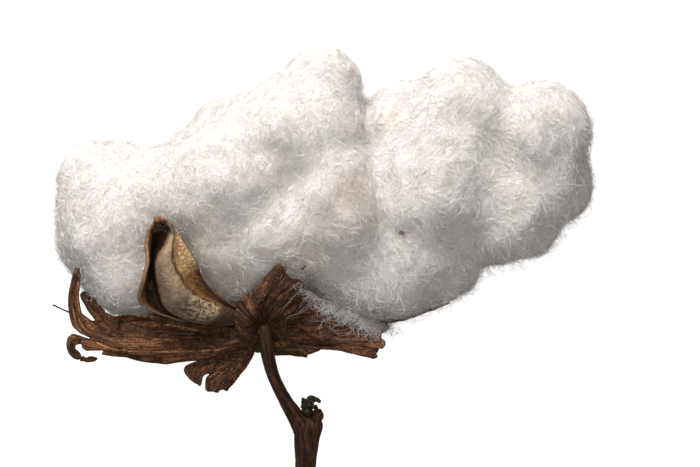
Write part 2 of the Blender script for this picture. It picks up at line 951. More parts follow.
@dataclass
class FibreBundle:
    """Fibres drawn as fine ribbons, in lots that become a piece each.

    Args:
        name: what the pieces' names start with.
        paths: each lot's paths.
        sides: each lot's half widths.
        tints: each lot's colours.
    """

    name: str
    paths: list[np.ndarray] = field(default_factory=list)
    sides: list[np.ndarray] = field(default_factory=list)
    tints: list[np.ndarray] = field(default_factory=list)

    def add(self, path: np.ndarray, side: np.ndarray, tint: np.ndarray) -> None:
        """Adds fibres.

        Args:
            path: design points, by fibre, by step along it.
            side: half of the ribbon's width as a vector, for each of those points.
            tint: a colour for each fibre.
        """
        self.paths.append(path)
        self.sides.append(side)
        self.tints.append(tint)

    def piece(self, slot: Slot) -> None:
        """Makes a piece of each lot, none of them too large to export whole.

        Args:
            slot: the record's material slot that the pieces belong to.
        """
        for number, (path, side, tint) in enumerate(zip(self.paths, self.sides, self.tints)):
            count, steps = path.shape[:2]
            corners = DESIGN.to_row(np.stack([path - side, path + side], axis=2)).reshape(-1, 3)
            corners[:, 2] = np.maximum(corners[:, 2], 0.0)
            index = np.arange(count * steps * 2).reshape(count, steps, 2)
            near, far = index[:, :-1], index[:, 1:]
            quads = np.stack([near[..., 0], far[..., 0], far[..., 1], near[..., 1]], axis=-1)
            quads = quads.reshape(-1, 4).astype(np.int32)
            mesh = bpy.data.meshes.new(f"{self.name}_{number}")
            mesh.vertices.add(len(corners))
            mesh.vertices.foreach_set("co", corners.ravel())
            mesh.loops.add(quads.size)
            mesh.loops.foreach_set("vertex_index", quads.ravel())
            mesh.polygons.add(len(quads))
            mesh.polygons.foreach_set("loop_start", np.arange(0, quads.size, 4, dtype=np.int32))
            mesh.update(calc_edges=True)
            obj = Workbench.hang(mesh.name, mesh)
            Workbench.paint(obj, "tint", np.repeat(tint, steps * 2, axis=0))
            Workbench.hand_over(obj, FibreFinish(), slot)


@dataclass
class Combing:
    """How fibres lie on a surface.

    Args:
        length: shortest and longest, in millimetres.
        width: the ribbon's width, in millimetres.
        lift: how high above the surface they rise, least and most.
        free: the share of fibres whose end stands free.
        curl: how strongly they bend sideways.
        roll: 0 lays the ribbon flat, 1 turns it any way.
        steps: how many points its path has.
        strand: how many fibres gather round each leading one.
        clump: how far they gather, 1 being all the way.
    """

    length: tuple[float, float] = (2.2, 5.2)
    width: float = 0.066
    lift: tuple[float, float] = (0.1, 1.3)
    free: float = 0.55
    curl: float = 0.8
    roll: float = 0.5
    steps: int = 4
    strand: int = 8
    clump: float = 0.4


@dataclass
class Lint:
    """The locks of lint: one soft body with its clefts, and the fibres combed over it.

    Args:
        locks: the CAD nodes of the locks.
        seeds: the CAD nodes of the seeds, over which the lint closes.
        bundles: how many pieces the coat and the halo have each.
        coat: how many fibres a piece of the coat starts with.
        halo: how many fibres a piece of the halo starts with.
        seed: the seed of chance for the fibres.
        voxel: the size of the body's faces, in millimetres.
        swell: how far the forms are grown before they join, in millimetres.
        easing: how often the body is smoothed.
        regrow: how far it is grown back after that, in millimetres.
        settle: the share of its spread that it keeps under the fibres.
        relief: the sizes and heights of its tufts, in millimetres.
        heart: where the fibres fan out from.
        cleft: the x at which their drift changes.
        drift_left: the drift on its left.
        drift_right: the drift on its right.
        body: the body, once it is made.
    """

    locks: tuple[str, ...] = ("lint_lock_left", "lint_lock_middle", "lint_lock_right", "lint_lock_back")
    seeds: tuple[str, ...] = ("seed_lower", "seed_upper")
    bundles: int = 5
    coat: int = 16800
    halo: int = 6700
    seed: int = 11
    voxel: float = 0.75
    swell: float = 0.30
    easing: int = 80
    regrow: float = 0.55
    settle: float = 0.978
    relief: tuple[tuple[float, float], ...] = ((5.2, 0.36), (2.3, 0.12), (1.1, 0.05))
    heart: Point = (0.0, 5.0, 26.0)
    cleft: float = 21.0
    drift_left: Point = (0.2, 0.5, 0.0)
    drift_right: Point = (0.9, -0.7, 0.0)
    body: bpy.types.Object | None = None

    def settled(self, points: np.ndarray) -> np.ndarray:
        """Draws points in a little, which leaves room for the fibres round them.

        Args:
            points: design points, one a row.

        Returns:
            The points drawn in towards the boll's middle, except at its lower side.
        """
        moved = points.copy()
        away = moved[:, :2] - MIDDLE
        away[:, 0] *= self.settle
        away[:, 1] = np.where(away[:, 1] > 0.0, away[:, 1] * self.settle, away[:, 1])
        moved[:, :2] = away + MIDDLE
        return moved

    def make_body(self) -> None:
        """Makes the body: the CAD forms of the locks, evened out and raised in small tufts."""
        bm = Workbench.cad_copy((*self.locks, *self.seeds))
        bm.normal_update()
        for vertex in bm.verts:
            vertex.co += vertex.normal * self.swell * MM
        obj = Workbench.hang("lint_body", Workbench.mesh_of(bm, "lint_body"))
        Workbench.felt(obj, self.voxel, self.easing)
        points = Workbench.points(obj)
        rise = np.full(len(points), self.regrow)
        for number, (size, height) in enumerate(self.relief):
            swirl = NoiseField(size * 1.7, 40 + number).at(points) * size * 0.5
            wave = NoiseField(size, 50 + number).at(points + swirl)[:, 0]
            rise += (np.abs(wave) - 0.25) * 2.0 * height
        normals = Workbench.normals(obj)
        for seed in SEEDS:
            far = np.linalg.norm(points[:, :2] - seed.tip, axis=1) / seed.reach
            rise += seed.cover * np.exp(-far**2) * (normals[:, 2] > 0.0)
        points = self.settled(points + normals * rise[:, None])
        points[:, 2] = np.maximum(points[:, 2], 0.0)
        Workbench.move(obj, points)
        Workbench.paint(obj, "tint", lint_tint(points))
        self.body = Workbench.hand_over(obj, LintFinish(), Slot.LINT, self.locks)

    def roots(self, count: int, rng: np.random.Generator) -> tuple[np.ndarray, np.ndarray]:
        """Picks random points all over the body's skin.

        Args:
            count: how many.
            rng: the source of chance.

        Returns:
            The design points, and the normals there.
        """
        mesh = self.body.data
        mesh.calc_loop_triangles()
        corners = np.empty(len(mesh.loop_triangles) * 3, np.int32)
        mesh.loop_triangles.foreach_get("vertices", corners)
        corners = corners.reshape(-1, 3)
        points, normals = Workbench.points(self.body), Workbench.normals(self.body)
        spans = points[corners]
        area = np.linalg.norm(np.cross(spans[:, 1] - spans[:, 0], spans[:, 2] - spans[:, 0]), axis=1)
        chosen = rng.choice(len(corners), count, p=area / area.sum())
        share = rng.dirichlet((1.0, 1.0, 1.0), count)
        place = (points[corners[chosen]] * share[:, :, None]).sum(axis=1)
        normal = unit((normals[corners[chosen]] * share[:, :, None]).sum(axis=1))
        return place, normal

    def flow(self, points: np.ndarray) -> np.ndarray:
        """Tells which way the fibres are combed.

        Args:
            points: design points, one a row.

        Returns:
            A heading for each, before it is laid on the surface.
        """
        outward = unit(points - np.array(self.heart))
        broad = NoiseField(15.0, 7).at(points)
        close = NoiseField(5.0, 8).at(points)
        tight = NoiseField(1.8, 9).at(points)
        past = 1.0 / (1.0 + np.exp((self.cleft - points[:, :1]) / 2.0))
        drift = np.array(self.drift_left) * (1.0 - past) + np.array(self.drift_right) * past
        return outward * 0.35 + drift + broad * 1.5 + close * 0.9 + tight * 0.35

    def comb(
        self, count: int, how: Combing, keep_off: list[BVHTree], rng: np.random.Generator
    ) -> Fibres:
        """Grows fibres from the skin.

        Args:
            count: how many to start, before those in the way are dropped.
            how: how they lie.
            keep_off: surfaces in the row's frame that no fibre starts under.
            rng: the source of chance.

        Returns:
            Paths, half widths and tints, as FibreBundle.add takes them.
        """
        place, normal = self.roots(count, rng)
        clear = np.array([not self.covered(p, n, keep_off) for p, n in zip(place, normal)])
        place, normal = place[clear], normal[clear]
        count = len(place)
        skin = BVHTree.FromObject(self.body, bpy.context.evaluated_depsgraph_get())
        offset = DESIGN.offset()
        heading = self.flow(place) * rng.choice((-1.0, 1.0), (count, 1), p=(0.15, 0.85))
        heading += rng.normal(0.0, 0.5, (count, 3))
        reach = rng.uniform(*how.length, count)[:, None]
        rise = how.lift[0] + (how.lift[1] - how.lift[0]) * rng.random((count, 1)) ** 2
        loose = (rng.random(count) < how.free)[:, None]
        bend = rng.normal(0.0, how.curl, count)[:, None]
        path = np.empty((count, how.steps, 3))
        ups = np.empty_like(path)
        for step in range(how.steps):
            along = step / (how.steps - 1)
            arch = rise * math.sin(math.pi * (0.15 + 0.7 * along)) - 0.1
            path[:, step] = place + normal * np.where(loose, rise * along**1.6, arch)
            ups[:, step] = normal
            heading = unit(heading - (heading * normal).sum(axis=1, keepdims=True) * normal)
            heading = heading + np.cross(normal, heading) * bend * (0.6 + 0.8 * along)
            place = place + unit(heading) * reach / (how.steps - 1)
            heading = heading * 0.75 + unit(self.flow(place)) * 0.25
            found = [skin.find_nearest(p) for p in (place + offset) * MM]
            place = np.array([hit[0] for hit in found]) / MM - offset
            normal = unit(0.4 * normal + np.array([hit[1] for hit in found]))
        path = self.gathered(path, how, rng)
        tangent = unit(np.gradient(path, axis=1))
        turn = rng.normal(0.0, 1.0, (count, 1, 3)) * how.roll
        side = unit(np.cross(tangent, ups + turn))
        taper = np.sin(np.linspace(0.12, math.pi - 0.12, how.steps))[None, :, None] ** 0.5
        width = how.width / 2 * rng.uniform(0.7, 1.3, (count, 1, 1))
        tint = lint_tint(path[:, how.steps // 2]) * (1.0 - 0.46 * rng.random((count, 1)) ** 1.3)
        return path, side * taper * width, tint

    @staticmethod
    def gathered(path: np.ndarray, how: Combing, rng: np.random.Generator) -> np.ndarray:
        """Draws neighbouring fibres together into strands, more so towards their ends.

        Args:
            path: the fibres' paths.
            how: how they lie.
            rng: the source of chance.

        Returns:
            The gathered paths.
        """
        leaders = rng.choice(len(path), max(1, len(path) // how.strand), replace=False)
        nearby = KDTree(len(leaders))
        for number, leader in enumerate(leaders):
            nearby.insert(Vector(path[leader, 0]), number)
        nearby.balance()
        mine = leaders[[nearby.find(Vector(place))[1] for place in path[:, 0]]]
        apart = path[:, :1] - path[mine, :1]
        share = how.clump * np.linspace(0.0, 1.0, how.steps)[None, :, None] ** 0.7
        return path + share * (path[mine] + apart * 0.25 - path)

    @staticmethod
    def covered(place: np.ndarray, normal: np.ndarray, keep_off: list[BVHTree]) -> bool:
        """Whether something lies close over a point of the skin."""
        start = Vector(DESIGN.to_row(place + normal * 0.05))
        return any(tree.ray_cast(start, Vector(normal), 1.4 * MM)[0] is not None for tree in keep_off)

    def dress(self, keep_off: list[BVHTree]) -> None:
        """Combs the coat and the halo over the body.

        Args:
            keep_off: surfaces in the row's frame that no fibre starts under.
        """
        rng = np.random.default_rng(self.seed)
        coat, halo = FibreBundle("lint_fibres"), FibreBundle("lint_fuzz")
        airy = Combing(length=(2.5, 6.5), width=0.042, lift=(0.5, 4.2), free=0.8, roll=1.0)
        for _ in range(self.bundles):
            coat.add(*self.comb(self.coat, Combing(), keep_off, rng))
            halo.add(*self.comb(self.halo, airy, keep_off, rng))
        coat.piece(Slot.LINT)
        halo.piece(Slot.LINT)


@dataclass
class Veil:
    """Curly fibres that hang off the lint over the right bract, and a few long strands.

    Args:
        edge: the line that they start from.
        lots: how many of them there are, how long they are and how far above the edge they start.
        curl: how much they turn in all, in radians.
        steps: how many points each has.
        half_width: half of the ribbon's width, in millimetres.
        above: a height above everything, in millimetres.
        seed: the seed of chance.
    """

    edge: tuple[Point, ...] = (
        (9.2, 10.8, 40.0), (11.8, 9.0, 40.0), (14.3, 7.0, 39.0), (16.6, 5.1, 38.0),
        (19.5, 4.2, 37.0), (22.3, 3.0, 36.0), (24.8, 2.2, 35.0), (27.4, 1.7, 34.0),
    )
    lots: tuple[tuple[int, tuple[float, float], float], ...] = (
        (1700, (1.6, 4.6), 2.6), (34, (7.0, 13.0), 1.5),
    )
    curl: float = 3.4
    steps: int = 9
    half_width: float = 0.026
    above: float = 80.0
    seed: int = 21

    def grow(
        self, count: int, length: tuple[float, float], spread: float,
        under: list[BVHTree], rng: np.random.Generator
    ) -> Fibres:
        """Grows curly fibres that lie on whatever is below them.

        Args:
            count: how many.
            length: shortest and longest, in millimetres.
            spread: how far above the edge they may start, in millimetres.
            under: the surfaces that they lie on.
            rng: the source of chance.

        Returns:
            Paths, half widths and tints, as FibreBundle.add takes them.
        """
        steps, curl = self.steps, self.curl
        line = smooth_line(self.edge, 200)
        place = line[rng.integers(0, len(line), count)]
        place[:, :2] += rng.normal(0.0, 0.5, (count, 2))
        place[:, 1] += rng.uniform(-0.6, 1.0, count) * spread
        angle = rng.uniform(-math.pi, math.pi, count)
        turn = rng.normal(0.0, curl, count) / steps
        wobble = rng.normal(0.0, curl * 0.35, (count, steps)) / steps**0.5
        stride = rng.uniform(*length, count) / steps
        gap = rng.uniform(0.08, 0.9, count)
        path = np.empty((count, steps, 3))
        for step in range(steps):
            path[:, step] = place
            angle = angle + turn + wobble[:, step]
            heading = np.stack([np.cos(angle), np.sin(angle), np.zeros(count)], axis=1)
            place = place + heading * stride[:, None]
        down = Vector((0, 0, -1))
        for number, fibre in enumerate(path):
            for point in fibre:
                start = Vector(DESIGN.to_row((*point[:2], self.above)))
                found = [tree.ray_cast(start, down)[0] for tree in under]
                tops = [hit.z / MM for hit in found if hit is not None]
                point[2] = max(tops, default=point[2]) + gap[number]
        path[:, 1:-1, 2] = (path[:, :-2, 2] + path[:, 1:-1, 2] + path[:, 2:, 2]) / 3
        tangent = unit(np.gradient(path, axis=1))
        side = unit(np.cross(tangent, rng.normal((0.0, 0.0, 1.0), 0.4, (count, 1, 3))))
        taper = np.sin(np.linspace(0.15, math.pi - 0.15, steps))[None, :, None] ** 0.5
        tint = lint_tint(path[:, 0]) * rng.uniform(0.30, 0.58, (count, 1))
        return path, side * taper * self.half_width, tint

    def build(self, under: list[BVHTree]) -> None:
        """Hangs the veil.

        Args:
            under: the surfaces that it lies on.
        """
        rng = np.random.default_rng(self.seed)
        bundle = FibreBundle("lint_veil")
        for lot in self.lots:
            bundle.add(*self.grow(*lot, under, rng))
        bundle.piece(Slot.LINT)


@dataclass
class Whiskers:
    """Frayed threads of dry husk at a tip or edge.

    Args:
        name: the piece's name.
        root: where they start, as it looks from above.
        heading: which way they point.
        count: how many.
        length: shortest and longest, in millimetres.
        width: the thread's width in millimetres.
        scatter: how far apart they start.
        colours: what they take turns in.
        spread: how far their headings differ.
        bend: how strongly they bend.
        slot: the record's material slot that they belong to.
        seed: the seed of chance.
        steps: how many points each has.
    """

    name: str
    root: Point
    heading: Point
    count: int
    length: tuple[float, float]
    width: float
    scatter: Point
    colours: tuple[Colour, ...]
    spread: float = 0.35
    bend: float = 0.13
    slot: Slot = Slot.HUSK
    seed: int = 31
    steps: int = 7

    def build(self) -> None:
        """Draws the threads."""
        rng = np.random.default_rng(self.seed)
        steps = self.steps
        place = np.array(self.root) + rng.uniform(-1.0, 1.0, (self.count, 3)) * self.scatter
        heading = unit(np.array(self.heading) + rng.normal(0.0, self.spread, (self.count, 3)))
        stride = rng.uniform(*self.length, (self.count, 1)) / steps
        bend = rng.normal(0.0, self.bend, (self.count, 3))
        path = np.empty((self.count, steps, 3))
        for step in range(steps):
            path[:, step] = place
            heading = unit(heading + bend)
            place = place + heading * stride
        side = unit(np.cross(unit(np.gradient(path, axis=1)), (0.1, 0.0, 1.0)))
        taper = np.linspace(1.0, 0.25, steps)[None, :, None] * self.width / 2
        tint = np.array(self.colours)[rng.integers(0, len(self.colours), self.count)]
        bundle = FibreBundle(self.name)
        bundle.add(path, side * taper, tint)
        bundle.piece(self.slot)


@dataclass(frozen=True)
class Tooth:
    """A tooth of a bract.

    Args:
        line: its midline, from the bract's foot to its tip.
        half_width: half of its greatest width, in millimetres.
        web: the share of its length along which it is joined to the next tooth.
        shade: how bright it is.
        taper: how it narrows. Less keeps it broad nearly to its tip.
    """

    line: tuple[Point, ...]
    half_width: float
    web: float
    shade: float = 1.0
    taper: float = 0.75


@dataclass
class Bract:
    """A toothed, pleated leaf at the foot of the boll.

    Args:
        node: the CAD node that it stands for.
        teeth: its teeth, side by side.
        tint: what its colour is multiplied by.
        rows: how many points a tooth has along it.
        columns: how many steps a tooth has across it.
        cad_rows: how many rows the narrowing at its foot is counted in.
        pleat: how deep the folds between the teeth are, in millimetres.
        gap: the gap between free teeth, in millimetres.
        thickness: the leaf's thickness, in millimetres.
        crinkles: the sizes and depths of its crinkles, in millimetres.
    """

    node: str
    teeth: tuple[Tooth, ...]
    tint: Colour = (1.0, 1.0, 1.0)
    rows: int = 67
    columns: int = 8
    cad_rows: int = 12
    pleat: float = 0.35
    gap: float = 0.32
    thickness: float = 0.45
    crinkles: tuple[tuple[float, float], ...] = ((5.0, 0.35), (1.7, 0.13), (0.8, 0.05))

    def shared_rows(self) -> list[int]:
        """For each gap beside a tooth, the last row that both of its teeth share."""
        rows = [round(tooth.web * (self.rows - 1)) for tooth in self.teeth[:-1]]
        return [rows[0], *rows, rows[-1]]

    def edges(self, middles: list[np.ndarray], shared: list[int]) -> list[list[np.ndarray]]:
        """Lays out the edges of the teeth, which narrow to their tips above the web.

        Args:
            middles: the midline of each tooth.
            shared: for each gap beside a tooth, the last row that both of its teeth share.

        Returns:
            The left and the right edge of each tooth.
        """
        found = []
        last = len(self.teeth) - 1
        scale = (self.cad_rows - 1) / (self.rows - 1)
        for k, tooth in enumerate(self.teeth):
            middle = middles[k]
            heading = unit(np.gradient(middle, axis=0))
            pair = []
            for sign, neighbour in ((-1, k - 1), (1, k + 1)):
                beside = 0 <= neighbour <= last
                other = middles[neighbour if beside else k - sign]
                web = shared[k if sign < 0 else k + 1]
                away = (other[web] - middle[web]) * (1.0 if beside else -1.0)
                away = unit(away - np.dot(away, heading[web]) * heading[web])
                edge = []
                for row in range(self.rows):
                    turn = Vector(heading[web]).rotation_difference(Vector(heading[row]))
                    share = max(0.0, (row - web) / (self.rows - 1 - web))
                    width = tooth.half_width * ((1.0 - share) ** tooth.taper * 0.9 + 0.1)
                    width *= min(1.0, 0.35 + row * scale / 5.0)
                    if beside:
                        room = min(np.linalg.norm(other - middle[row], axis=1)) / 2
                        width = max(min(width, room - self.gap / 2), 0.12)
                    width *= 1.0 + 0.10 * noise.noise(Vector((k * 9.1 + sign * 3.3, row * 0.16, 0.5)))
                    edge.append(middle[row] + np.array(turn @ Vector(away)) * width)
                pair.append(np.array(edge))
            found.append(pair)
        return found

    def build(self) -> bpy.types.Object:
        """Builds the leaf.

        Returns:
            A thin closed sheet with its veins' relief.
        """
        count, half = len(self.teeth), self.columns // 2
        width, height = count * self.columns, self.rows - 1
        middles = [smooth_line(tooth.line, self.rows, 1.3) for tooth in self.teeth]
        shared = self.shared_rows()
        edges = self.edges(middles, shared)
        bm = Workbench.grid(width, height)
        slits = []
        for edge in bm.edges:
            (left, low), (right, _) = sorted(Workbench.address(v, width, height) for v in edge.verts)
            gap, rest = divmod(left, self.columns)
            if left == right and rest == 0 and 0 < gap < count and low >= shared[gap]:
                slits.append(edge)
        bmesh.ops.split_edges(bm, edges=slits)
        places, blades, shades = [], [], []
        for vertex in bm.verts:
            column, row = Workbench.address(vertex, width, height)
            centre = sum(f.calc_center_median().x for f in vertex.link_faces) / len(vertex.link_faces)
            tooth = min(count - 1, column // self.columns)
            if column % self.columns == 0 and 0 < column < width and centre < vertex.co.x:
                tooth -= 1
            t = (column - tooth * self.columns) / half - 1.0
            middle = middles[tooth][row]
            side = 0 if t < 0 else 1
            border = self.border(middles, edges, shared, tooth, side, row)
            places.append(middle + (border - middle) * abs(t))
            blades.append((tooth + (t + 1) / 2, np.linalg.norm(middle - middles[tooth][0]), t))
            shades.append(self.teeth[tooth].shade)
        for vertex, place in zip(bm.verts, places):
            vertex.co = Vector(place)
        bm.normal_update()
        normals = np.array([vertex.normal for vertex in bm.verts])
        Workbench.reshape(bm, self.crinkled(np.array(places), normals, np.array(blades)))
        bmesh.ops.triangulate(bm, faces=bm.faces[:], quad_method="SHORT_EDGE")
        obj = Workbench.hang(f"{self.node}_leaf", Workbench.mesh_of(bm, self.node))
        Workbench.paint(obj, "blade", np.array(blades))
        Workbench.paint(obj, "tint", np.array(shades)[:, None] * np.array(self.tint))
        Workbench.thicken(obj, self.thickness)
        return Workbench.hand_over(obj, BractFinish(), Slot.BRACT, (self.node,))

    def border(
        self, middles: list, edges: list, shared: list[int], tooth: int, side: int, row: int
    ) -> np.ndarray:
        """Finds where the strip of a tooth ends: on the web's pleat, or on its own edge.

        Args:
            middles: the midline of each tooth.
            edges: the edges of each tooth.
            shared: for each gap beside a tooth, the last row that both of its teeth share.
            tooth: which tooth.
            side: 0 for its left side, 1 for its right.
            row: which row.

        Returns:
            The design point there.
        """
        gap = tooth + side
        if not (0 < gap < len(self.teeth) and row <= shared[gap]):
            return edges[tooth][side][row]
        low, high = middles[gap - 1], middles[gap]
        across = high[row] - low[row]
        along = unit(high[min(row + 1, self.rows - 1)] - high[max(row - 1, 0)])
        across = across - np.dot(across, along) * along
        depth = min(self.pleat, 0.16 * np.linalg.norm(across))
        return (low[row] + high[row]) / 2 + unit(np.cross(across, along)) * depth

    def crinkled(self, places: np.ndarray, normals: np.ndarray, blades: np.ndarray) -> np.ndarray:
        """Crumples the sheet.

        Args:
            places: its design points.
            normals: its normals there.
            blades: where each point lies on the leaf, as its finish reads it.

        Returns:
            The points moved by the crinkles, the ribs and the wrinkles along the leaf.
        """
        rise = np.zeros(len(places))
        for size, depth in self.crinkles:
            rise += [noise.noise(Vector(place / size)) * depth for place in places]
        along = np.stack([blades[:, 0] * 3.1, blades[:, 1] * 0.22, blades[:, 0] * 0.0], axis=1)
        rise += [noise.noise(Vector(spot)) * 0.16 for spot in along]
        rise += 0.13 * np.exp(-((blades[:, 2] / 0.13) ** 2))
        return places + normals * rise[:, None]


@dataclass
class Valve:
    """A valve of the husk, lofted through lines that run side by side from its foot to its tip.

    Args:
        name: the piece's name.
        lines: the lines, each a list of design points.
        rows: how many points it has along it.
        columns: how many points it has across it.
        thickness: its wall's thickness, in millimetres.
        ripple: how high its cross folds are, in millimetres.
        flip: whether its outer side is the other one.
    """

    name: str
    lines: list[list[Point]]
    rows: int = 70
    columns: int = 61
    thickness: float = 0.7
    ripple: float = 0.10
    flip: bool = False

    def build(self) -> bpy.types.Object:
        """Builds the valve.

        Returns:
            A thin closed sheet, which isn't handed over yet.
        """
        along = np.array([smooth_line(line, self.rows) for line in self.lines])
        place = np.array([smooth_line(along[:, row], self.columns) for row in range(self.rows)])
        reach = np.cumsum(np.linalg.norm(np.diff(along, axis=0), axis=2), axis=0)
        reach = np.vstack([np.zeros(self.rows), reach / reach[-1]])
        steps, marks = np.linspace(0.0, 1.0, self.columns), np.linspace(0.0, 1.0, len(along))
        across = [np.interp(steps, reach[:, row], marks) for row in range(self.rows)]
        bm = Workbench.grid(self.columns - 1, self.rows - 1)
        blades = []
        for vertex in bm.verts:
            column, row = Workbench.address(vertex, self.columns - 1, self.rows - 1)
            vertex.co = Vector(place[row, column])
            blades.append((across[row][column], row / (self.rows - 1), 0.0))
        bm.normal_update()
        places = np.array([vertex.co for vertex in bm.verts])
        normals = np.array([vertex.normal for vertex in bm.verts])
        rise = np.array([noise.noise(Vector((u * 4.0, v * 26.0, 3.0))) for u, v, _ in blades]) * self.ripple
        rise += np.array([noise.noise(Vector(spot / 1.5)) for spot in places]) * 0.12
        Workbench.reshape(bm, places + normals * rise[:, None])
        bmesh.ops.triangulate(bm, faces=bm.faces[:], quad_method="SHORT_EDGE")
        obj = Workbench.hang(self.name, Workbench.mesh_of(bm, self.name))
        Workbench.paint(obj, "blade", np.array(blades))
        before = len(obj.data.vertices)
        Workbench.thicken(obj, self.thickness)
        self.mark_outside(obj, before)
        return obj

    def mark_outside(self, obj: bpy.types.Object, before: int) -> None:
        """Tells the finish which face of the wall is the husk's outer hide.

        Args:
            obj: the valve.
            before: how many vertices it had as a sheet.
        """
        layer = obj.data.attributes["blade"]
        values = np.empty(len(obj.data.vertices) * 3, np.float32)
        layer.data.foreach_get("vector", values)
        values = values.reshape(-1, 3)
        back = np.arange(len(values)) >= before
        values[:, 2] = np.where(back != self.flip, 1.0, 0.0)
        layer.data.foreach_set("vector", values.ravel())


@dataclass
class Husk:
    """The dry husk: a folded front valve, three boat-shaped ones, and the foot that joins them.

    Args:
        front: the front valve's lines.
        boats: the spine, facing and half width of each of the others.
        foot: the foot's middle.
        foot_radius: its radius, in millimetres.
        foot_relief: the size and the height of its bumps, in millimetres.
        hollow: how deep a boat is, as a share of its half width.
        lip: how far its edges are rolled back, as a share of it too.
    """

    front: list[list[Point]]
    boats: list[tuple[list[Point], Point, float]]
    foot: Point = (0.2, 4.4, 29.6)
    foot_radius: float = 4.7
    foot_relief: tuple[float, float] = (1.6, 0.35)
    hollow: float = 0.55
    lip: float = 0.30

    def boat_lines(
        self, spine: list[Point], facing: Point, half_width: float
    ) -> list[list[np.ndarray]]:
        """Lays out a boat-shaped valve: hollow, with a low septum and rolled-back lips.

        Args:
            spine: its midline, from its foot to its tip.
            facing: which way it is open.
            half_width: half of its greatest width, in millimetres.

        Returns:
            Lines that run side by side along it.
        """
        lines = []
        middle = smooth_line(spine, 10)
        heading = np.gradient(middle, axis=0)
        for across in np.linspace(-1.0, 1.0, 17):
            line = []
            for row, centre in enumerate(middle):
                share = row / (len(middle) - 1)
                swell = math.sin(math.pi * min(share * 1.15 + 0.08, 1.0)) ** 0.8
                width = max(half_width * (0.30 + 0.70 * swell) * (1.0 - share**6), 0.9)
                tangent = unit(heading[row])
                up = unit(np.array(facing) - np.dot(facing, tangent) * tangent)
                side = np.cross(tangent, up)
                rise = self.hollow * across * across - self.lip * across**6
                rise += 0.14 * math.exp(-((across / 0.16) ** 2))
                line.append(centre + side * across * width + up * rise * width)
            lines.append(line)
        return lines

    def build(self) -> list[bpy.types.Object]:
        """Builds the husk.

        Returns:
            Its valves and its foot, the front valve first.
        """
        valves = [Valve("husk_front", self.front).build()]
        for number, boat in enumerate(self.boats):
            lines = self.boat_lines(*boat)
            valves.append(Valve(f"husk_boat_{number}", lines, 46, 35, flip=True).build())
        bm = bmesh.new()
        radius, (size, height) = self.foot_radius * MM, self.foot_relief
        bmesh.ops.create_icosphere(bm, subdivisions=5, radius=radius, matrix=DESIGN.step_to(self.foot))
        for vertex in bm.verts:
            vertex.co += vertex.normal * height * MM * noise.noise(vertex.co / (size * MM))
        foot = Workbench.hang("husk_foot", Workbench.mesh_of(bm, "husk_foot"))
        Workbench.paint(foot, "blade", np.tile((0.5, 0.0, 1.0), (len(foot.data.vertices), 1)))
        Workbench.hand_over(valves[0], ValveFinish(), Slot.HUSK, ("husk",))
        for obj in (*valves[1:], foot):
            Workbench.hand_over(obj, ValveFinish(), Slot.HUSK)
        return [*valves, foot]


